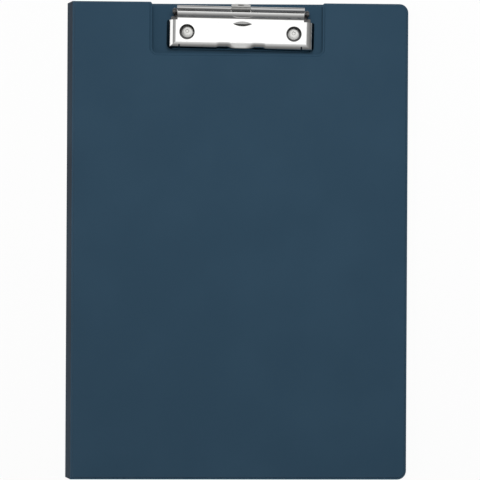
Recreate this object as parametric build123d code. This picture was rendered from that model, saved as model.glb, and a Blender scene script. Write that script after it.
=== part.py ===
from build123d import *
import math
import os

# Clipboard folder for A4 sheets, closed and lying on its back: the spine is at -X, the clip at +Y.
# All sizes are in millimetres. The origin is at the middle of the rear face.

# Closed folder seen from above
folder_width = 229.8
folder_height = 320.0
outer_corner_radius = 6.0

# Panels: a greyboard between two vinyl films, which are welded together round its edge
film = 0.3
back_board_thickness = 2.0
cover_board_thickness = 1.6
weld_rim = 1.2
shoulder_radius = 0.7
corner_margin = 0.2
least_fillet = 0.1
board_fit = 0.02

# Spine: a strip of film between two creases, which leans inwards while the folder is empty
spine_width = 9.5
spine_lean = 62.0
crease_gap = 0.25
back_crease_land = 2.0
cover_crease_land = 1.0
rest_gap = 0.3

# Notch in the cover round the clip
notch_width = 114.6
notch_depth = 34.4
notch_corner_radius = 4.0
notch_mouth_radius = 1.5

# Pocket inside the cover: a film welded along three edges
pocket_film = 0.25
pocket_air = 0.1
pocket_height = 108.0
pocket_weld = 3.0
pocket_inset = 2.0

# Clip: where its pin lies, and the steel that it is pressed from
clip_offset = 2.25
clip_skew = 1.0
pin_from_top = 7.1
steel = 0.8
side_gap = 0.3
running_gap = 0.05
overcut = 1.0

# Hinge pin with a formed head at each end
pin_radius = 1.1
pin_head_radius = 1.8
pin_head_length = 0.9

# Torsion springs on the pin
spring_wire = 0.65
spring_pin_gap = 0.15
spring_barrel_gap = 1.5
spring_turns = 8
spring_turn_gap = 0.45
spring_arcs_per_turn = 2
spring_start = 14.0
spring_end_angle = 270.0
spring_base_leg = 4.5
spring_lever_leg = 6.0
spring_bend_radius = 1.1
spring_seat_gap = 0.1
spring_samples = 600

# Base plate under the jaw, with an upturned ear at each side
base_half_width = 47.0
base_reach = 20.2
base_behind = 3.0
base_corner_radius = 3.0
base_step_radius = 1.0
ear_half_width = 2.4
ear_gap = 1.7
base_barrel_gap = 0.5

# Jaw plate: flat on top, rolled down at the front and the sides
jaw_width = 99.5
jaw_reach = 24.6
jaw_rise = 1.1
jaw_front_radius = 4.8
jaw_side_radius = 6.8
jaw_corner_radius = 4.0
jaw_shoulder = 5.5
lip_gap = 0.3
lip_width = 81.0
relief_width = 1.0
relief_depth = 2.7
flange_clear = 1.2

# Lever, which rises behind the barrel to a hem rolled round a wire
lever_width = 84.6
hem_wire_radius = 0.65
hem_behind = 1.2
hem_rise = 8.4
hem_slit = 0.3
valley_radius = 0.4

# Pressed mark in the jaw plate
dimple_length = 13.0
dimple_width = 3.4
dimple_depth = 0.7
dimple_reach = 7.5
dimple_offset = 1.2
dimple_wheel_scale = 3

# Rivets, and the holes in the jaw plate that give a tool way to them
rivet_spacing = 71.6
rivet_reach = 12.45
rivet_head_radius = 4.2
rivet_head_height = 2.0
rivet_rim_height = 1.6
rivet_dish_radius = 1.2
rivet_dish_depth = 0.3
rivet_shank_radius = 1.6
rivet_hole_gap = 0.1
rivet_bore_radius = 0.9
rivet_tail_radius = 2.6
rivet_tail_height = 0.6
washer_radius = 4.2
washer_thickness = 0.5
washer_pocket_gap = 0.2
access_hole_radius = 5.15
access_hole_reach = 13.55

# Hanging tab, whose knuckle turns on the wire in a gap of the hem
tab_width = 12.8
tab_length = 10.2
tab_corner_radius = 4.0
tab_lean = 20.0
tab_hole_radius = 2.25
tab_hole_reach = 5.8
tab_gap_depth = 2.6

# Heights and places that follow from the sizes
back_half = back_board_thickness / 2 + film
back_face = 2 * back_half
cover_half = cover_board_thickness / 2 + film
half_height = folder_height / 2
free_edge = folder_width / 2
pocket_stack = pocket_air + pocket_film
base_top = back_face + steel
spring_radius = pin_radius + spring_pin_gap + spring_wire / 2
barrel_bore = spring_radius + spring_wire / 2 + spring_barrel_gap
barrel_radius = barrel_bore + steel
pin_height = base_top + base_barrel_gap + barrel_radius
jaw_top = pin_height + jaw_rise
jaw_under = jaw_top - steel
lip_bottom = back_face + lip_gap
flange_bottom = back_face + flange_clear
hem_bore = hem_wire_radius + running_gap
hem_radius = hem_bore + steel
hem_height = pin_height + hem_rise
lever_back = hem_behind + hem_radius
lever_front = lever_back - steel
tab_gap = tab_width + 2 * side_gap
ear_inside = lever_width / 2 + ear_gap
ear_outside = ear_inside + steel
clip_place = Location((clip_offset, half_height - pin_from_top, 0), (0, 0, -clip_skew))

# Creases of the closed folder: one edge of a triangle leans with the spine, the next is the cover
back_crease = Vector(film - free_edge, 0, back_half)
cover_crease = back_crease + spine_width * Vector(
    math.cos(math.radians(spine_lean)), 0, math.sin(math.radians(spine_lean))
)
cover_foot = Vector(free_edge, 0, back_face + rest_gap + pocket_stack + cover_half)
cover_width = (cover_foot - cover_crease).length
cover_slope = math.degrees(math.asin((cover_crease.Z - cover_foot.Z) / cover_width))
back_place = Location(back_crease)
spine_place = Location(back_crease, (0, -spine_lean, 0))
cover_place = Location(cover_crease, (0, cover_slope, 0))


def block(x_range, y_range, z_range):
    """Box between two limits along each axis."""
    ends = [sorted(limits) for limits in (x_range, y_range, z_range)]
    middle = [(low + high) / 2 for low, high in ends]
    return Pos(*middle) * Box(*[high - low for low, high in ends])


def along_pin(profile, x_range):
    """Solid of a profile, drawn as (Y, Z), that runs along the pin."""
    low, high = x_range
    return Pos(low, 0, 0) * extrude(Plane.YZ * profile, amount=high - low)


def panel_plan(width, inset, land, notch_middle):
    """Plan of a panel from its crease at x = 0, drawn in by an inset and, at the crease, by a land.

    The corners at the crease are square and the free ones rounded. A notch in the top edge is given
    by its middle, or None. Rounded corners keep enough radius to carry the shoulder of the film.
    """
    least = corner_margin + shoulder_radius if inset else 0
    top = half_height - inset
    outer = max(outer_corner_radius - inset, least)
    points = [(land, -top), (width - inset, -top), (width - inset, top)]
    radii = [0, outer, outer]
    if notch_middle is not None:
        reach = notch_width / 2 + inset
        floor = half_height - notch_depth - inset
        mouth = max(notch_mouth_radius - inset, least)
        corner = notch_corner_radius + inset
        right = notch_middle + reach
        left = notch_middle - reach
        points += [(right, top), (right, floor), (left, floor), (left, top)]
        radii += [mouth, corner, corner, mouth]
    points.append((land, top))
    radii.append(0)
    return make_face(FilletPolyline(*points, radius=radii, close=True))


def rounded_plate(plan, half_thickness, edge_radius):
    """Plate about its middle plane, with its outer edges rounded on both faces."""
    plate = extrude(plan, amount=half_thickness, both=True)
    faces = plate.faces().sort_by(Axis.Z)
    return fillet(faces[0].edges() + faces[-1].edges(), edge_radius)


def welded_panel(width, board_thickness, land, notch_middle=None):
    """Board, film above and film below of a panel, about its middle plane."""

    def plan(inset):
        return panel_plan(width, inset, land + inset - weld_rim if inset else 0, notch_middle)

    half = board_thickness / 2 + film
    shoulder = min(shoulder_radius, board_thickness / 2 - board_fit)
    inner_edge = max(shoulder - film, least_fillet)
    board = rounded_plate(plan(weld_rim + film), board_thickness / 2, inner_edge)
    cavity_plan = plan(weld_rim + film - board_fit)
    cavity = rounded_plate(cavity_plan, board_thickness / 2 + board_fit, inner_edge)
    sleeve = rounded_plate(plan(weld_rim), half, shoulder)
    rim = extrude(plan(0), amount=film, both=True)
    nose = Rot(90, 0, 0) * Cylinder(film, folder_height)
    sleeve = sleeve + rim + nose - cavity
    span = (-2 * film, width + overcut)
    tall = (-folder_height, folder_height)
    above = sleeve & block(span, tall, (0, 2 * half))
    below = sleeve & block(span, tall, (-2 * half, 0))
    return board, above, below


def spine_films():
    """Outer and inner film of the spine strip, with round edges beside the creases."""
    start = 2 * film + crease_gap
    end = spine_width - start
    strip = block((start, end), (-half_height, half_height), (-film, film))
    for edge in (start, end):
        strip += Pos(edge, 0, 0) * Rot(90, 0, 0) * Cylinder(film, folder_height)
    span = (0, spine_width)
    tall = (-folder_height, folder_height)
    outer = strip & block(span, tall, (0, spine_width))
    inner = strip & block(span, tall, (-spine_width, 0))
    return outer, inner


def pocket():
    """Pocket film below the inner face of the cover, open at its top edge."""
    left = cover_crease_land + pocket_inset
    right = cover_width - weld_rim - pocket_inset
    bottom = weld_rim + pocket_inset - half_height
    top = bottom + pocket_height
    sheet = block((left, right), (bottom, top), (-cover_half - pocket_stack, -cover_half))
    inside = block(
        (left + pocket_weld, right - pocket_weld),
        (bottom + pocket_weld, top + pocket_weld),
        (-cover_half - pocket_air, -cover_half),
    )
    return sheet - inside


def at_rivets(solid):
    """A solid about the clip's own height axis, repeated at both rivets."""
    spots = [clip_place * Pos(side * rivet_spacing / 2, -rivet_reach, 0) for side in (-1, 1)]
    return spots[0] * solid + spots[1] * solid


def rod(radius, z_range):
    """Upright cylinder between two heights."""
    low, high = z_range
    return Pos(0, 0, (low + high) / 2) * Cylinder(radius, high - low)


def rivet():
    """Semi-tubular rivet: domed and dished head, shank, and a tail rolled over the washer."""
    bottom = film + running_gap
    tail_top = bottom + rivet_tail_height
    crown = base_top + rivet_head_height
    rim = (rivet_head_radius, base_top + rivet_rim_height)
    dish = crown - rivet_dish_depth
    lip = (rivet_dish_radius, crown)
    outline = [
        (0, dish),
        (0, tail_top),
        (rivet_bore_radius, tail_top),
        (rivet_bore_radius, bottom),
        (rivet_tail_radius, bottom),
        (rivet_tail_radius, tail_top),
        (rivet_shank_radius, tail_top),
        (rivet_shank_radius, base_top),
        (rivet_head_radius, base_top),
        rim,
    ]
    lines = Polyline(*outline)
    lines += TangentArc(lip, rim, tangent=(1, 0))
    lines += Polyline(lip, (rivet_bore_radius, dish), outline[0])
    return revolve(Plane.XZ * make_face(lines), axis=Axis.Z)


def washer():
    """Washer between the board and the tail of a rivet."""
    low = film + running_gap + rivet_tail_height
    hole = rivet_shank_radius + running_gap
    return rod(washer_radius, (low, low + washer_thickness)) - rod(hole, (0, back_face))


def base_plate():
    """Riveted plate with two ears that carry the pin."""
    outline = FilletPolyline(
        (-ear_outside, base_behind),
        (-ear_outside, -ear_half_width),
        (-base_half_width, -ear_half_width),
        (-base_half_width, -base_reach),
        (base_half_width, -base_reach),
        (base_half_width, -ear_half_width),
        (ear_outside, -ear_half_width),
        (ear_outside, base_behind),
        radius=[0, 0, base_step_radius, base_corner_radius, base_corner_radius, base_step_radius, 0, 0],
        close=True,
    )
    plate = Pos(0, 0, back_face) * extrude(make_face(outline), amount=steel)
    ear = Pos(0, pin_height) * Circle(ear_half_width)
    stem_height = pin_height - back_face
    ear += Pos(0, back_face + stem_height / 2) * Rectangle(2 * ear_half_width, stem_height)
    ear -= Pos(0, pin_height) * Circle(pin_radius + board_fit)
    for side in (-1, 1):
        plate += along_pin(ear, sorted((side * ear_inside, side * ear_outside)))
        hole = rod(rivet_shank_radius + rivet_hole_gap, (0, base_top + overcut))
        plate -= Pos(side * rivet_spacing / 2, -rivet_reach, 0) * hole
    return plate


def hinge_pin():
    """Pin through both ears, with a formed head at each end."""
    inside = ear_outside + board_fit
    outside = inside + pin_head_length
    middle = Pos(0, pin_height)
    pin = along_pin(middle * Circle(pin_radius), (-inside, inside))
    pin += along_pin(middle * Circle(pin_head_radius), (-outside, -inside))
    pin += along_pin(middle * Circle(pin_head_radius), (inside, outside))
    return pin


def biarc(start, start_way, end, end_way):
    """Two arcs that join two points, each leaving along its given direction."""
    chord = end - start
    ways = start_way + end_way
    bend = 2 * (1 - start_way.dot(end_way))
    along = chord.dot(ways)
    reach = (math.sqrt(along * along + bend * chord.dot(chord)) - along) / bend
    first = start + start_way * reach
    last = end - end_way * reach
    joint = (first + last) * 0.5
    return [
        TangentArc(start, joint, tangent=start_way),
        TangentArc(joint, end, tangent=(last - first).normalized()),
    ]


def least_gap(path):
    """Least space between parts of the spring's wire that are more than a turn's half apart."""
    points = [path @ (index / spring_samples) for index in range(spring_samples + 1)]
    apart = math.ceil(math.pi * spring_radius * spring_samples / path.length)
    distances = [
        (second - first).length
        for index, first in enumerate(points)
        for second in points[index + apart :]
    ]
    return min(distances) - spring_wire


def torsion_spring():
    """Spring at the right of the clip: a leg on the base plate, the coil, a leg behind the lever."""
    pitch = spring_wire + spring_turn_gap
    rise = pitch / (2 * math.pi)

    def coil(turn):
        angle = 2 * math.pi * turn + coil_start
        place = Vector(
            spring_start + pitch * turn,
            spring_radius * math.cos(angle),
            pin_height + spring_radius * math.sin(angle),
        )
        way = Vector(rise, -spring_radius * math.sin(angle), spring_radius * math.cos(angle)).normalized()
        return place, way

    # The base leg slopes down until its wire lies on the base plate
    drop = pin_height - base_top - spring_wire / 2 - running_gap
    swing = math.atan2(spring_base_leg, spring_radius)
    coil_start = swing - math.asin(drop / math.hypot(spring_base_leg, spring_radius))

    # The coil ends below the pin, where the wire runs backwards
    coil_end = math.radians(spring_end_angle)
    turns = spring_turns + (coil_end - coil_start) / (2 * math.pi) % 1
    steps = spring_arcs_per_turn * spring_turns + 1
    start, start_way = coil(0)
    edges = [Line(start - start_way * spring_base_leg, start)]
    for step in range(steps):
        first, first_way = coil(turns * step / steps)
        last, last_way = coil(turns * (step + 1) / steps)
        edges += biarc(first, first_way, last, last_way)
    end, end_way = coil(turns)
    upright = lever_back + spring_wire / 2 + spring_seat_gap
    bend_start = end + end_way * (upright - spring_bend_radius - end.Y)
    foot = Vector(bend_start.X, upright, bend_start.Z + spring_bend_radius)
    top = foot + Vector(0, 0, spring_lever_leg)
    edges.append(Line(end, bend_start))
    edges += biarc(bend_start, end_way, foot, Vector(0, 0, 1))
    edges.append(Line(foot, top))
    path = Wire([edge if isinstance(edge, Edge) else edge.edge() for edge in edges])
    print(f"least gap of the spring to itself: {least_gap(path):.2f} mm")
    section = Plane(origin=edges[0] @ 0, z_dir=start_way) * Circle(spring_wire / 2)
    return sweep(section, path=path)


def jaw_shell():
    """Pressed cap of the jaw: a flat top whose front and side edges roll down."""

    def cap(inset):
        top = jaw_top - inset
        front = inset - jaw_reach
        side = jaw_width / 2 - inset
        low = lip_bottom - inset
        back = inset - jaw_shoulder
        front_profile = FilletPolyline(
            (front, low),
            (front, top),
            (back, top),
            (back, low),
            radius=[0, jaw_front_radius - inset, 0, 0],
            close=True,
        )
        side_radius = jaw_side_radius - inset
        side_low = low - side_radius
        side_profile = FilletPolyline(
            (-side, side_low),
            (-side, top),
            (side, top),
            (side, side_low),
            radius=[0, side_radius, side_radius, 0],
            close=True,
        )
        corner = jaw_corner_radius - inset
        plan = FilletPolyline(
            (-side, front),
            (side, front),
            (side, back),
            (-side, back),
            radius=[corner, corner, 0, 0],
            close=True,
        )
        body = along_pin(make_face(front_profile), (-side, side))
        body &= extrude(Plane.XZ * make_face(side_profile), amount=jaw_reach + jaw_width, both=True)
        return body & extrude(make_face(plan), amount=jaw_top + overcut)

    shell = cap(0) - cap(steel)
    lip = lip_width / 2
    before = -jaw_reach - overcut
    for sign in (-1, 1):
        shell -= block((sign * lip, sign * jaw_width), (before, 0), (0, flange_bottom))
        slit = (sign * lip, sign * (lip + relief_width))
        shell -= block(slit, (before, relief_depth - jaw_reach), (0, jaw_top + overcut))
    return shell


def lever_profile():
    """Section through the barrel, the lever and its hem, drawn as (Y, Z) from the pin."""
    ring = Circle(barrel_radius) - Circle(barrel_bore)
    under = jaw_rise - steel
    span = barrel_radius + overcut
    barrel = ring & Pos((lever_back - span) / 2, under + span / 2) * Rectangle(lever_back + span, span)
    neck_end = -math.sqrt(barrel_bore**2 - under**2)
    neck_middle = (neck_end - jaw_shoulder - steel) / 2
    neck = Pos(neck_middle, jaw_rise - steel / 2) * Rectangle(neck_end + jaw_shoulder + steel, steel)
    foot = math.sqrt(barrel_bore**2 - lever_front**2)
    lever = Pos((lever_front + lever_back) / 2, (foot + hem_rise) / 2) * Rectangle(steel, hem_rise - foot)
    hem = Pos(hem_behind, hem_rise) * (Circle(hem_radius) - Circle(hem_bore))
    slit_middle = lever_front - hem_slit / 2
    hem -= Pos(slit_middle, hem_rise - hem_radius) * Rectangle(hem_slit, 2 * (hem_radius - hem_slit))
    section = barrel + neck + lever + hem
    creases = [
        (-math.sqrt(barrel_radius**2 - jaw_rise**2), jaw_rise),
        (lever_front, math.sqrt(barrel_radius**2 - lever_front**2)),
    ]
    for crease in creases:
        corner = section.vertices().sort_by_distance(Vector(*crease))[0]
        section = fillet(corner, valley_radius)
    return section


def clamp_plate():
    """Jaw, barrel and lever, pressed from one sheet."""
    half = lever_width / 2
    plate = along_pin(Pos(0, pin_height) * lever_profile(), (-half, half))
    cheek = Pos(0, pin_height) * (Circle(barrel_radius) - Circle(pin_radius + running_gap))
    for side in (-1, 1):
        plate += along_pin(cheek, sorted((side * (half - steel), side * half)))
    plate += jaw_shell()

    # Gap in the lever and its hem for the hanging tab
    gap_floor = hem_height - tab_gap_depth
    gap_depth = (hem_behind - 2 * hem_radius, hem_behind + 2 * hem_radius)
    plate -= block((-tab_gap / 2, tab_gap / 2), gap_depth, (gap_floor, 2 * hem_height))

    # Access holes over the rivets
    access = rod(access_hole_radius, (jaw_under - overcut, jaw_top + overcut))
    for side in (-1, 1):
        plate -= Pos(side * rivet_spacing / 2, -access_hole_reach, 0) * access

    # Lens-shaped mark: the rim of a sharp wheel pressed into the sheet
    half_length = dimple_length / 2
    wheel_radius = (half_length**2 + dimple_depth**2) / (2 * dimple_depth)
    wheel_height = jaw_top - dimple_depth + wheel_radius
    wheel_side = dimple_wheel_scale * dimple_width / 2
    wheel_bevel = dimple_wheel_scale * dimple_depth

    def wheel(radius):
        edge = radius - wheel_bevel
        rim = Polyline((-wheel_side, edge), (0, radius), (wheel_side, edge), close=True)
        disc = revolve(make_face(rim), axis=Axis.X)
        return Pos(dimple_offset, -dimple_reach, wheel_height) * Rot(0, 0, 90) * disc

    half_swell = half_length + overcut
    swell_span = (dimple_offset - half_swell, dimple_offset + half_swell)
    below = block(swell_span, (-jaw_reach, 0), (jaw_under - overcut, jaw_under + board_fit))
    plate += wheel(wheel_radius + steel) & below
    plate -= wheel(wheel_radius)
    return plate


def hem_wire():
    """Wire that stiffens the hem and carries the hanging tab."""
    half = lever_width / 2
    return along_pin(Pos(hem_behind, hem_height) * Circle(hem_wire_radius), (-half, half))


def hanging_tab():
    """Tab with a knuckle round the wire and a hole for a nail, leaning back from the lever."""
    half = tab_width / 2
    outline = FilletPolyline(
        (-half, 0),
        (-half, -tab_length),
        (half, -tab_length),
        (half, 0),
        radius=[0, tab_corner_radius, tab_corner_radius, 0],
        close=True,
    )
    sheet = make_face(outline) - Pos(0, -tab_hole_reach) * Circle(tab_hole_radius)
    tab = Pos(0, hem_radius, 0) * extrude(Plane.XZ * sheet, amount=steel)
    tab += along_pin(Circle(hem_radius), (-half, half))
    tab -= along_pin(Circle(hem_bore), (-half - overcut, half + overcut))
    return Pos(0, hem_behind, hem_height) * Rot(tab_lean, 0, 0) * tab


def back_parts():
    """Board and films of the back panel, with the holes that the rivets need."""
    board, inner, outer = welded_panel(folder_width - film, back_board_thickness, back_crease_land)
    hole = at_rivets(rod(rivet_shank_radius + rivet_hole_gap, (film, back_face + overcut)))
    pocket_top = film + running_gap + rivet_tail_height + washer_thickness + board_fit
    seat = at_rivets(rod(washer_radius + washer_pocket_gap, (film - board_fit, pocket_top)))
    board = back_place * board - hole - seat
    inner = back_place * inner - hole
    return board, inner, back_place * outer


back_board, back_inner_film, back_outer_film = back_parts()
notch_middle = -cover_crease.X / math.cos(math.radians(cover_slope))
cover_board, cover_outer_film, cover_inner_film = welded_panel(
    cover_width, cover_board_thickness, cover_crease_land, notch_middle
)
spine_outer_film, spine_inner_film = spine_films()
right_spring = torsion_spring()

parts = {
    "back_board": back_board,
    "back_outer_film": back_outer_film,
    "back_inner_film": back_inner_film,
    "spine_outer_film": spine_place * spine_outer_film,
    "spine_inner_film": spine_place * spine_inner_film,
    "cover_board": cover_place * cover_board,
    "cover_outer_film": cover_place * cover_outer_film,
    "cover_inner_film": cover_place * cover_inner_film,
    "cover_pocket": cover_place * pocket(),
    "clip_base_plate": clip_place * base_plate(),
    "clip_rivets": at_rivets(rivet()),
    "rivet_washers": at_rivets(washer()),
    "hinge_pin": clip_place * hinge_pin(),
    "torsion_spring_left": clip_place * mirror(right_spring, about=Plane.YZ),
    "torsion_spring_right": clip_place * right_spring,
    "clamp_plate": clip_place * clamp_plate(),
    "hem_wire": clip_place * hem_wire(),
    "hanging_tab": clip_place * hanging_tab(),
}

os.makedirs("parts", exist_ok=True)
for name, solid in parts.items():
    export_step(solid, f"parts/{name}.step")
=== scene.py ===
# %% [markdown]
# # A clipboard folder
#
# The object is a folder for A4 sheets with a sprung steel clip. Two boards are welded into matt
# navy film, a narrow strip of the same film makes the spine, and the cover has a notch through
# which the clip stands out.
#
# The solids already exist. They come in as a fixed frame, one mesh for each real piece, in metres.
# This lesson gives them their finishes, adds the few forms that a sheet-metal or film worker would
# see as one soft surface, and sets up the camera and the light.

# %% The frame
import math

import bpy
import numpy as np
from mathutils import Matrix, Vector


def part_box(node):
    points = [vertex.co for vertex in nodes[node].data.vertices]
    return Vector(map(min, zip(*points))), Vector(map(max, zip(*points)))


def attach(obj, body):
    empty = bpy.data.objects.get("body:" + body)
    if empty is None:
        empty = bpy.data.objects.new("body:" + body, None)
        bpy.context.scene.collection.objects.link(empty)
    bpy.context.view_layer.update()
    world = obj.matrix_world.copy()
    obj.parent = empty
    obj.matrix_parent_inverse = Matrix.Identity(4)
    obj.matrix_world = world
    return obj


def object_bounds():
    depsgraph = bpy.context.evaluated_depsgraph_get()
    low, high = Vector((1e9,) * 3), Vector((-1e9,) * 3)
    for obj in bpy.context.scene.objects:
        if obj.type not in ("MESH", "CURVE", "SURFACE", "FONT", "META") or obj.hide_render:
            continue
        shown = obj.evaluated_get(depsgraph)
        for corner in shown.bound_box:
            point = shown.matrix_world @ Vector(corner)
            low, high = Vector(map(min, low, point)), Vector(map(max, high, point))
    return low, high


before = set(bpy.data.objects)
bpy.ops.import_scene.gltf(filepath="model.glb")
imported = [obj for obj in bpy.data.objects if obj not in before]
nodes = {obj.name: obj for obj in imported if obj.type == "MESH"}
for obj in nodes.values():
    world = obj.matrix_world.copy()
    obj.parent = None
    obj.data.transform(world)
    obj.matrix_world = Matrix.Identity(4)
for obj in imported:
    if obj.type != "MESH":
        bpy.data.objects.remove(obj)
solid_box = [list(corner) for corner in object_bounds()]
MM = 0.001
size = [round((high - low) / MM, 1) for low, high in zip(*solid_box)]
print("nodes:", len(nodes), "size in mm:", size)

# %% [markdown]
# ## Writing shader maths
#
# A finish is a tree of nodes, and drawing a long sum with the mouse or with calls is tedious. So
# one small class stands for an output of the tree. Adding, subtracting or multiplying two of them
# adds the Math node, and a pattern then reads like its formula. Every other kind of node comes
# from one method, which takes the kind, its settings and what goes into its sockets.


# %% The socket class
class Flow:
    """An output socket of a shader tree, or the tree alone. Arithmetic on it adds Math nodes."""

    def __init__(self, tree, socket=None):
        self.tree = tree
        self.socket = socket

    def node(self, kind, settings=None, inputs=None, output=0):
        """Adds a node: first its settings, then the values or links of its sockets."""
        made = self.tree.nodes.new("ShaderNode" + kind)
        for name, value in (settings or {}).items():
            if name == "stops":
                ramp = made.color_ramp
                ramp.interpolation = "EASE"
                while len(ramp.elements) < len(value):
                    ramp.elements.new(1)
                for element, (place, level) in zip(ramp.elements, value):
                    element.position = place
                    element.color = (level, level, level, 1)
            else:
                setattr(made, name, value)
        for name, value in (inputs or {}).items():
            if isinstance(value, Flow):
                self.tree.links.new(value.socket, made.inputs[name])
            else:
                made.inputs[name].default_value = value
        return Flow(self.tree, made.outputs[output] if made.outputs else None)

    def math(self, operation, *values):
        """A Math node on this value and the others, in their order."""
        return self.node("Math", {"operation": operation}, dict(enumerate((self,) + values)))

    def __add__(self, other):
        return self.math("ADD", other)

    __radd__ = __add__

    def __mul__(self, other):
        return self.math("MULTIPLY", other)

    __rmul__ = __mul__

    def __sub__(self, other):
        return self.math("SUBTRACT", other)

    def __rsub__(self, other):
        return (self * -1) + other

    def __truediv__(self, other):
        return self.math("DIVIDE", other)

    def __abs__(self):
        return self.math("ABSOLUTE")

    def most(self, other):
        return self.math("MAXIMUM", other)

    def least(self, other):
        return self.math("MINIMUM", other)

    def fade(self, start, end):
        """0 before start and 1 after end, with a soft step between them."""
        settings = {"interpolation_type": "SMOOTHSTEP"}
        return self.node("MapRange", settings, {"Value": self, "From Min": start, "From Max": end})

    def axes(self):
        """The three numbers of a vector."""
        split = self.node("SeparateXYZ", inputs={0: self}).socket.node
        return [Flow(self.tree, output) for output in split.outputs]


def blend_colours(factor, first, second):
    """The first colour where factor is 0 and the second where it is 1."""
    settings = {"data_type": "RGBA"}
    return factor.node("Mix", settings, {0: factor, 6: first, 7: second}, output=2)


def new_finish(name, make):
    """A material whose Principled shader gets the sockets that make(tree, place) returns."""
    finish = bpy.data.materials.new(name)
    finish.use_nodes = True
    finish.node_tree.nodes.clear()
    tree = Flow(finish.node_tree)
    place = tree.node("TexCoord", output="Object")
    shader = tree.node("BsdfPrincipled", inputs=make(tree, place))
    tree.node("OutputMaterial", inputs={"Surface": shader})
    return finish


def wear(finish, *names):
    """Puts a finish on the named solids."""
    for name in names:
        nodes[name].data.materials.clear()
        nodes[name].data.materials.append(finish)
    print(finish.name, "on", ", ".join(names))


# %% [markdown]
# ## Patterns
#
# Film, board and plated steel are plain only from far away. Close up, film has a fine pressed
# grain, board has fibres, and plating has a slow waviness from the press. All of these are noise
# at different sizes, so one helper gives noise whose features have a size in millimetres. It reads
# the Object coordinates, which are the real place in metres, so the grain has its true scale.


# %% Noise with a size
def speckle(place, feature_mm, detail=2.0, roughness=0.5):
    """Noise from 0 to 1 whose blobs are about feature_mm across."""
    inputs = {"Vector": place, "Scale": 1 / (feature_mm * MM)}
    return place.node("TexNoise", inputs=inputs | {"Detail": detail, "Roughness": roughness})


def relief(height, depth_mm, strength=1.0, under=None):
    """A normal bent by a height from 0 to 1 that stands for depth_mm, over another bent normal."""
    inputs = {"Height": height, "Distance": depth_mm * MM, "Strength": strength}
    if under:
        inputs["Normal"] = under
    return height.node("Bump", inputs=inputs)


# %% [markdown]
# ## The film
#
# The boards are covered with soft PVC film, coloured through, with a fine matt grain. Where a
# heated tool has welded two films together round a board, the grain is pressed flat and the film
# is a little smoother. The finish therefore measures how far a point is from the outline of its
# panel. That is the distance to a rounded rectangle: the two distances to its sides, and near a
# corner the length of both together.
# Along its welded rim the film is also lighter in patches, partly wear and partly a painted
# highlight.
# The spine's strip is coloured darker than the panels, as painted shade of its crease.


# %% Distance to the outline of a panel
def inside_outline(place, low, high, radius_mm):
    """Millimetres from the outline of a rounded rectangle, counted inwards."""
    x, y, _ = place.axes()
    centre = [(a + b) / 2 for a, b in zip(low, high)]
    half = [(b - a) / 2 - radius_mm * MM for a, b in zip(low, high)]
    dx = abs(x - centre[0]) - half[0]
    dy = abs(y - centre[1]) - half[1]
    beyond = dx.most(0).math("POWER", 2.0) + dy.most(0).math("POWER", 2.0)
    reach = beyond.math("SQRT") + dx.most(dy).least(0)
    return (radius_mm * MM - reach) / MM


NAVY = (0.0135, 0.0400, 0.0680, 1)
NAVY_WORN_AND_HIGHLIT = (0.0190, 0.0500, 0.0820, 1)
# The spine's colour is darker than the panels': painted shade of the steep strip in its crease.
SHADED_SPINE_NAVY = (0.0050, 0.0150, 0.0290, 1)
WELD_RIM_MM = 1.3
GRAIN_MM, GRAIN_DEPTH_MM = 0.35, 0.012
CLOUD_MM, SHEEN_MM, RIM_MARK_MM = 45.0, 8.0, 3.0


def film_finish(name, colour, tone_and_painted_light, outline=None, roughness=0.60, specular=0.25):
    """Matt film. An outline of (low corner, high corner, radius in mm) adds its welded rim, lighter
    in patches from wear and a painted highlight.
    """

    def make(tree, place):
        grain = speckle(place, GRAIN_MM, 3.0, 0.6)
        cloudy = speckle(place, CLOUD_MM, 3.0)
        rubbed_and_rim_highlight = cloudy.fade(0.35, 0.75) * 0.35
        rough = roughness + 0.06 * (speckle(place, SHEEN_MM, 4.0) - 0.5)
        if outline:
            depth = inside_outline(place, *outline)
            rim = 1 - depth.fade(WELD_RIM_MM - 0.3, WELD_RIM_MM + 0.2)
            # Along the rim the film turns lighter in patches: partly wear, partly a painted
            # highlight of the rounded edge.
            rubbed_and_rim_highlight = (rubbed_and_rim_highlight + 0.5 * rim * speckle(place, RIM_MARK_MM, 3.0)).least(1.0)
            rough = rough - 0.10 * rim
            grain = grain * (1 - 0.7 * rim)
        return {
            "Base Color": blend_colours(rubbed_and_rim_highlight, colour, tone_and_painted_light),
            "Roughness": rough,
            "Specular IOR Level": specular,
            "Normal": relief(grain, GRAIN_DEPTH_MM, 0.6),
        }

    return new_finish(name, make)


def plan_of(node, radius_mm=6.0):
    """The outline that a panel's finish needs, from the panel's own box."""
    low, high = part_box(node)
    return (low.x, low.y), (high.x, high.y), radius_mm


cover_film = film_finish("cover film", NAVY, NAVY_WORN_AND_HIGHLIT, plan_of("cover_outer_film"))
back_film = film_finish("back film", NAVY, NAVY_WORN_AND_HIGHLIT, plan_of("back_outer_film"))
# The spine's film is the same film, coloured darker as painted shade.
shaded_spine_film = film_finish("spine film with painted shade", SHADED_SPINE_NAVY, NAVY, roughness=0.55, specular=0.1)
pocket_film = film_finish("pocket film", NAVY, NAVY_WORN_AND_HIGHLIT, plan_of("cover_pocket", 0.5), 0.30, 0.4)
wear(cover_film, "cover_outer_film", "cover_inner_film")
wear(back_film, "back_outer_film", "back_inner_film")
wear(shaded_spine_film, "spine_outer_film", "spine_inner_film")
wear(pocket_film, "cover_pocket")

# %% [markdown]
# ## The boards
#
# Greyboard is pressed from waste paper. It is warm grey, dull, and full of short fibres and a few
# darker flecks. It is sealed between the films, so no view shows it, but a part that is taken
# apart should still look right.


# %% Greyboard
FIBRE_MM, FIBRE_DEPTH_MM, FLECK_MM = 0.6, 0.06, 1.4


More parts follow.
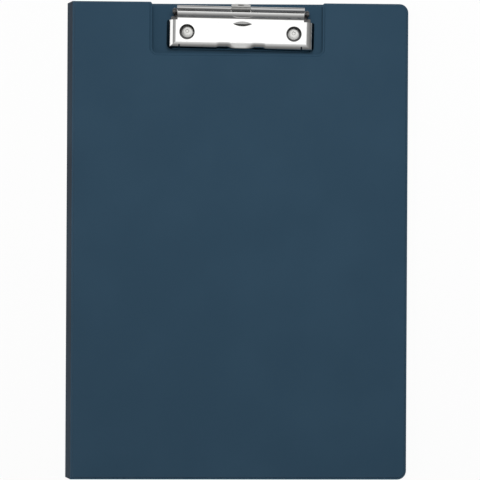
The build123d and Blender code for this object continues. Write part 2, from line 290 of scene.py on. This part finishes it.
def greyboard(tree, place):
    """Warm grey fibres, with darker flecks where a second noise is high."""
    fibres = speckle(place, FIBRE_MM, 5.0, 0.7)
    flecks = speckle(place, FLECK_MM, 2.0).fade(0.62, 0.70)
    warm = blend_colours(fibres, (0.24, 0.22, 0.19, 1), (0.42, 0.39, 0.34, 1))
    return {
        "Base Color": blend_colours(flecks * 0.6, warm, (0.10, 0.09, 0.08, 1)),
        "Roughness": 0.9,
        "Specular IOR Level": 0.2,
        "Normal": relief(fibres, FIBRE_DEPTH_MM, 0.7),
    }


wear(new_finish("greyboard", greyboard), "back_board", "cover_board")

# %% [markdown]
# ## The steel
#
# The clip is pressed from thin sheet and plated bright, so it shows its surroundings like a
# mirror. What makes it look pressed and not cast is a slow waviness of a few hundredths of a
# millimetre, which bends the reflections, and fine rub marks scatter a little light. Both are
# noise, because neither is deep enough to be modelled.
#
# Three things here were fitted and are not known from the object: the painted shade low on the
# jaw's side rolls, the painted shade that makes the hem darker, and the duller plating of the
# plate, tab, wire and rivets, whose dark colour on the plate and tab is partly painted shade. They
# give the greys that the clip shows from above. The two troughs beside the tongue of the lip are a
# bend of the normal alone, so the mesh is plain there. A trough that is cut into the solid sheet
# would be the better way.

# %% Plated steel
WAVE_DEPTH_MM = 0.035
TARNISH = 0.82


def plated_finish(name, colour, roughness, spread, wave_mm, marks_mm, tone_and_painted_light=None, pressed=None):
    """Plated steel with a slow wave in its surface and fine rub marks.

    tone_and_painted_light(place, plated) gives the colour where it differs from the plating's own,
    such as painted shade, and pressed(place, normal) bends the normal where the sheet is not plain.
    """

    def make(tree, place):
        wave = speckle(place, wave_mm, 1.0)
        marks = speckle(place, marks_mm, 6.0, 0.65)
        dulled = marks.fade(0.45, 0.80)
        tarnish = tuple(TARNISH * level for level in colour[:3]) + (1,)
        plated = blend_colours(dulled * 0.5, colour, tarnish)
        waved = relief(wave, WAVE_DEPTH_MM, 0.6)
        return {
            "Base Color": tone_and_painted_light(place, plated) if tone_and_painted_light else plated,
            "Metallic": 1.0,
            "Roughness": roughness + spread * dulled,
            "Normal": pressed(place, waved) if pressed else waved,
        }

    return new_finish(name, make)


# %% Painted shade and bent places of the clamp, in millimetres
CLIP_X, PIN_Y, CLIP_SKEW = 2.25, 152.9, math.radians(-1.0)
SIDE_ROLL, ROLL_SHADE, HEM_FOOT = 45.5, 6.4, 14.2
SOFT_BORDER = 0.5
# Painted shade: the near black low on the side rolls and the grey on the hem.
SHADE_ON_ROLLS = (0.02, 0.02, 0.02, 1)
SHADE_ON_HEM = (0.50, 0.50, 0.50, 1)
LIP_START, LIP_FALL, TROUGH_DEPTH = 19.0, 8.5, 1.6
TROUGH_NEAR, TROUGH_FAR = (6.0, 9.5), (14.0, 17.0)


def painted_shade(place, plated):
    """Painted shade: darker low on the two side rolls of the jaw, and darker on the hem of the
    lever.
    """
    x, _, z = place.axes()
    z = z / MM
    beside = abs(x / MM - CLIP_X).fade(SIDE_ROLL, SIDE_ROLL + 2 * SOFT_BORDER)
    low = beside * (1 - z.fade(ROLL_SHADE - SOFT_BORDER, ROLL_SHADE + SOFT_BORDER))
    hem = z.fade(HEM_FOOT - SOFT_BORDER, HEM_FOOT + SOFT_BORDER)
    return blend_colours(low, blend_colours(hem, plated, SHADE_ON_HEM), SHADE_ON_ROLLS)


def grip(place, normal):
    """Bends the normal as a trough would in the jaw's lip, at each side of its middle.

    The height falls from 0 at LIP_START to -1 over LIP_FALL, between two borders that fade.
    """
    x, y, _ = place.axes()
    x = x / MM - CLIP_X
    y = y / MM - PIN_Y - math.sin(CLIP_SKEW) * x
    ramp = (y * -1.0).fade(LIP_START, LIP_START + LIP_FALL)
    side = abs(x)
    trough = side.fade(*TROUGH_NEAR) * (1 - side.fade(*TROUGH_FAR))
    return relief(ramp * trough * -1.0, TROUGH_DEPTH, 1.0, normal)


# %% Finishes of the clip's pieces
bright_colour = (0.82, 0.82, 0.81, 1)
# The bright plating carries painted shade low on the side rolls and on the hem.
bright = plated_finish("bright plating", bright_colour, 0.05, 0.10, 9.0, 2.5, painted_shade, grip)
# The base plate and tab have a duller plating, and their dark colour is partly painted shade.
dull_shaded = plated_finish("dull plating with painted shade", (0.12, 0.12, 0.12, 1), 0.32, 0.15, 12.0, 3.0)
tab_plating = plated_finish("tab plating", (0.36, 0.36, 0.35, 1), 0.35, 0.15, 9.0, 2.0)
rivet_plating = plated_finish("rivet plating", (0.68, 0.68, 0.66, 1), 0.26, 0.15, 1.5, 0.8)
wire_plating = plated_finish("wire plating", (0.45, 0.45, 0.44, 1), 0.25, 0.15, 4.0, 0.5)
wear(bright, "clamp_plate")
wear(tab_plating, "hanging_tab")
wear(dull_shaded, "clip_base_plate", "hinge_pin")
wear(rivet_plating, "clip_rivets", "rivet_washers")
wear(wire_plating, "torsion_spring_left", "torsion_spring_right", "hem_wire")

# %% [markdown]
# ## Surfaces from numpy
#
# A new piece is a grid of points: one parameter runs along it and one round its section. The whole
# grid is worked out at once as arrays. Each four neighbours make a face, the section is closed on
# itself, and the two ends are closed by one face each.


# %% A closed sleeve from a grid
def sleeve(name, points, finish, body):
    """A closed mesh from points[along, round, xyz], given in metres, with both ends capped."""
    rows, ring = points.shape[:2]
    index = np.arange(rows * ring).reshape(rows, ring)
    here, there = index[:-1], index[1:]
    sides = np.stack([here, there, np.roll(there, -1, 1), np.roll(here, -1, 1)], -1).reshape(-1, 4)
    mesh = bpy.data.meshes.new(name)
    faces = sides.tolist() + [index[0].tolist(), index[-1][::-1].tolist()]
    mesh.from_pydata(points.reshape(-1, 3).tolist(), [], faces)
    mesh.polygons.foreach_set("use_smooth", [True] * len(sides) + [False, False])
    mesh.update()
    mesh.materials.append(finish)
    piece = bpy.data.objects.new(name, mesh)
    bpy.context.scene.collection.objects.link(piece)
    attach(piece, body)
    print(name, "has", len(faces), "faces")
    return piece


# %% [markdown]
# ## The creases
#
# On the real folder the film runs on over both creases. The solids leave a hair's width there, so
# that the strip can turn against the panels. A thin fillet of film, round about the crease itself,
# closes that gap: because it is centred on the line that the strip turns about, it stays in place
# at every angle.


# %% Crease fillets
def stadium(start, way, reach, half, steps=12):
    """Section of a strip with round ends, from start along way for reach; all in millimetres."""
    turn = np.linspace(math.pi / 2, 3 * math.pi / 2, steps)
    near = np.stack([half * np.cos(turn), half * np.sin(turn)], -1)
    far = np.stack([reach - half * np.cos(turn), -half * np.sin(turn)], -1)
    flat = np.concatenate([near, far])
    across = np.array([-way[1], way[0]])
    return np.array(start) + flat[:, :1] * np.array(way) + flat[:, 1:] * across


def along_spine(section, length_mm, rows=9):
    """The section, given as (X, Z) in millimetres, repeated along Y."""
    y = np.linspace(-length_mm / 2, length_mm / 2, rows)
    grid = np.zeros((rows, len(section), 3))
    grid[:, :, 0] = section[:, 0]
    grid[:, :, 1] = y[:, None]
    grid[:, :, 2] = section[:, 1]
    return grid * MM


LEAN = math.radians(62.0)
SPINE_WIDTH = 9.5
FOLDER_HEIGHT = 320.0
FILLET_REACH, FILLET_HALF = 0.9, 0.27
up_spine = (math.cos(LEAN), math.sin(LEAN))
back_crease = (-114.6, 1.3)
cover_crease = tuple(a + SPINE_WIDTH * b for a, b in zip(back_crease, up_spine))
down_spine = (-up_spine[0], -up_spine[1])
for name, start, way in (
    ("back_crease_fillet", back_crease, up_spine),
    ("cover_crease_fillet", cover_crease, down_spine),
):
    section = stadium(start, way, FILLET_REACH, FILLET_HALF)
    sleeve(name, along_spine(section, FOLDER_HEIGHT), shaded_spine_film, "spine")

# %% [markdown]
# ## The tongue in the lip
#
# The front of the jaw is rolled down to a lip, but in its middle a tongue is left nearly flat and
# turns down sharply at its end. Both are sections of the same sheet: a bend, a
# straight run, a second bend and a drop. The lip's section has no straight run, because its first
# bend goes all the way down. The tongue blends from one section to the other and back across the
# jaw. At its borders it sinks a hair's width into the steel, so the join is not seen.


# %% Lip tongue
JAW_REACH, JAW_TOP, BEND, LIP_BOTTOM = 24.6, 9.2, 4.8, 2.9
TONGUE_FLAT, TONGUE_HALF, TONGUE_TILT = 2.5, 9.5, math.radians(15.0)
TONGUE_RUN, TONGUE_BEND, SINK = 2.3, 1.2, 0.02
TONGUE_THICK, FOOT_RISE = 0.3, 0.05


def lip_section(tilt, run, bend, steps=31):
    """Even points (Y, Z) down the lip: BEND to a tilt, a straight run, a second bend and a drop."""
    first, second = np.linspace(0, tilt, steps), np.linspace(tilt, math.pi / 2, steps)
    y = BEND - JAW_REACH - BEND * np.sin(first)
    z = JAW_TOP - BEND + BEND * np.cos(first)
    y_run, z_run = y[-1] - run * math.cos(tilt), z[-1] - run * math.sin(tilt)
    y_bend = y_run - bend * (np.sin(second) - math.sin(tilt))
    z_bend = z_run - bend * (math.cos(tilt) - np.cos(second))
    y = np.concatenate([y, y_bend, y_bend[-1:]])
    z = np.concatenate([z, z_bend, [LIP_BOTTOM]])
    reach = np.concatenate([[0.0], np.cumsum(np.hypot(np.diff(y), np.diff(z)))])
    even = np.linspace(0, reach[-1], steps)
    return np.stack([np.interp(even, reach, y), np.interp(even, reach, z)], -1)


def lip_tongue_grid(rows=61):
    """The lip's section, blended by share(x) to the tongue's: 1 in the middle, 0 at the borders.

    The share falls from 1 to 0 as half a wave of the cosine between TONGUE_FLAT and TONGUE_HALF.
    The inner side is the plain lip, moved into the steel, so that the piece is closed.
    """
    lip = lip_section(math.pi / 2, 0, BEND) + (SINK, -SINK)
    tongue = lip_section(TONGUE_TILT, TONGUE_RUN, TONGUE_BEND)
    x = np.linspace(-TONGUE_HALF, TONGUE_HALF, rows)
    fall = np.clip((np.abs(x) - TONGUE_FLAT) / (TONGUE_HALF - TONGUE_FLAT), 0, 1)
    share = (1 + np.cos(fall * math.pi)) / 2
    outer = np.zeros((rows, len(lip), 3))
    outer[:, :, 0] = x[:, None]
    outer[:, :, 1:] = lip + share[:, None, None] * (tongue - lip)
    inner = outer.copy()
    inner[:, :, 1:] = lip + (TONGUE_THICK, -TONGUE_THICK)
    inner[:, -1, 2] = LIP_BOTTOM + FOOT_RISE
    return np.concatenate([outer, inner[:, ::-1]], 1)


def on_clip(points):
    """Points given about the clip's pin, in millimetres, turned and moved to their real place."""
    turned = points.copy()
    cos, sin = math.cos(CLIP_SKEW), math.sin(CLIP_SKEW)
    turned[..., 0] = cos * points[..., 0] - sin * points[..., 1] + CLIP_X
    turned[..., 1] = sin * points[..., 0] + cos * points[..., 1] + PIN_Y
    return turned * MM


tongue = sleeve("lip_tongue", on_clip(lip_tongue_grid()), bright, "clamp")

# %% [markdown]
# ## Floor and light
#
# The folder lies on a white table under one broad soft lamp, a little behind the clip. The table
# is nearly white for the camera and for reflections, and plain grey for all other light, so that
# it keeps the shadow. The room is white for the camera alone. For all other light its walls grow
# brighter from the floor to the ceiling, with a bright patch overhead and a bright wall at the
# left. A mirror shows only what is round it, so the places of these two were fitted until the
# curved steel had the right greys from above.


# %% Floor
FLOOR_HALF = 6.0
FLOOR_GREY = (0.7, 0.7, 0.7, 1)
FLOOR_WHITE_SHARE = 0.9


def white_floor():
    """White emission for the camera and for reflections, and matt grey for all other light."""
    finish = bpy.data.materials.new("white table")
    finish.use_nodes = True
    finish.node_tree.nodes.clear()
    tree = Flow(finish.node_tree)
    camera = tree.node("LightPath", output="Is Camera Ray")
    glossy = tree.node("LightPath", output="Is Glossy Ray")
    glass = tree.node("LightPath", output="Is Transmission Ray")
    seen = camera.most(glossy).most(glass)
    matt = tree.node("BsdfDiffuse", inputs={"Color": FLOOR_GREY})
    white = tree.node("Emission", inputs={"Color": (1, 1, 1, 1), "Strength": 1.0})
    both = tree.node("MixShader", inputs={0: seen * FLOOR_WHITE_SHARE, 1: matt, 2: white})
    tree.node("OutputMaterial", inputs={"Surface": both})
    return finish


floor_mesh = bpy.data.meshes.new("table")
corners = np.array([[-1, -1, 0], [1, -1, 0], [1, 1, 0], [-1, 1, 0]]) * FLOOR_HALF
floor_mesh.from_pydata(corners.tolist(), [], [(0, 1, 2, 3)])
floor_mesh.materials.append(white_floor())
floor = bpy.data.objects.new("table", floor_mesh)
bpy.context.scene.collection.objects.link(floor)
print("table of", 2 * FLOOR_HALF, "m")

# %% Room
KEY_ACROSS = (-9, 24, 7)
KEY_DEEP, KEY_SHARE = (2, 35, 14), 0.7
HALO_DEEP, HALO_SHARE = (-10, 35, 45), 0.3
KEY_LEVEL, LEFT_LEVEL = 0.75, 1.0
LEFT_WALL = (0.66, 0.76)
WALL_LEVELS = [(0.0, 0.14), (0.24, 0.16), (0.56, 0.25), (0.81, 0.33), (0.96, 0.49), (1.0, 0.61)]
HORIZON = 0.01


def span(slope, low, high, soft):
    """1 where the slope lies between two angles in degrees, with a soft border outside them."""
    near = slope.fade(math.tan(math.radians(low - soft)), math.tan(math.radians(low)))
    far = slope.fade(math.tan(math.radians(high)), math.tan(math.radians(high + soft)))
    return near * (1 - far)


world = bpy.data.worlds.new("room")
bpy.context.scene.world = world
world.use_nodes = True
world.node_tree.nodes.clear()
room = Flow(world.node_tree)
across, deep, height = room.node("TexCoord", output="Generated").axes()
walls = height.node("ValToRGB", {"stops": WALL_LEVELS}, {0: height})
above = height.most(HORIZON)
sideways = span(across / above, *KEY_ACROSS)
patch = KEY_SHARE * span(deep / above, *KEY_DEEP)
halo = HALO_SHARE * span(deep / above, *HALO_DEEP)
key = sideways * (patch + halo)
left = (across * -1.0).fade(*LEFT_WALL)
lit = walls + KEY_LEVEL * key + LEFT_LEVEL * left
light = room.node("Background", inputs={"Color": (1, 1, 1, 1), "Strength": lit})
clear = room.node("Background", inputs={"Color": (1, 1, 1, 1), "Strength": 1.0})
camera_ray = room.node("LightPath", output="Is Camera Ray")
whole = room.node("MixShader", inputs={0: camera_ray, 1: light, 2: clear})
room.node("OutputWorld", inputs={"Surface": whole})
print("room of", len(world.node_tree.nodes), "nodes")

# %% Lamp
LAMP_PLACE = Vector((0.05, 0.30, 0.75))
LAMP_SIZE, LAMP_WATTS = 0.6, 5.2
lamp_data = bpy.data.lights.new("softbox", "AREA")
lamp_data.shape = "DISK"
lamp_data.size = LAMP_SIZE
lamp_data.energy = LAMP_WATTS
lamp = bpy.data.objects.new("softbox", lamp_data)
bpy.context.scene.collection.objects.link(lamp)
lamp.location = LAMP_PLACE
lamp.rotation_mode = "QUATERNION"
lamp.rotation_quaternion = (-LAMP_PLACE).to_track_quat("-Z", "Y")
lamp.visible_glossy = False
print("lamp at", [round(part, 3) for part in LAMP_PLACE], "with", LAMP_WATTS, "W")

# %% [markdown]
# ## Camera
#
# The camera looks straight down and is turned by a third of a degree. Its height was fitted to
# the slopes of the edges and to how much of the clip's sides shows. The lens follows from that
# height and from the width of the frame at the level of the cover.

# %% Camera
CAMERA_HEIGHT = 0.85
FRAME_WIDTH = 0.3218
COVER_LEVEL = 0.008
ROLL = math.radians(0.3)
SENSOR = 36
CAMERA_X, CAMERA_Y = 0.00241, 0.0007
camera_data = bpy.data.cameras.new("camera")
camera_data.sensor_width = SENSOR
camera_data.lens = SENSOR * (CAMERA_HEIGHT - COVER_LEVEL) / FRAME_WIDTH
camera = bpy.data.objects.new("camera", camera_data)
bpy.context.scene.collection.objects.link(camera)
camera.location = (CAMERA_X, CAMERA_Y, CAMERA_HEIGHT)
camera.rotation_euler = (0, 0, ROLL)
bpy.context.scene.camera = camera
bpy.context.scene.view_settings.view_transform = "Standard"
print("lens of", round(camera_data.lens, 1), "mm")
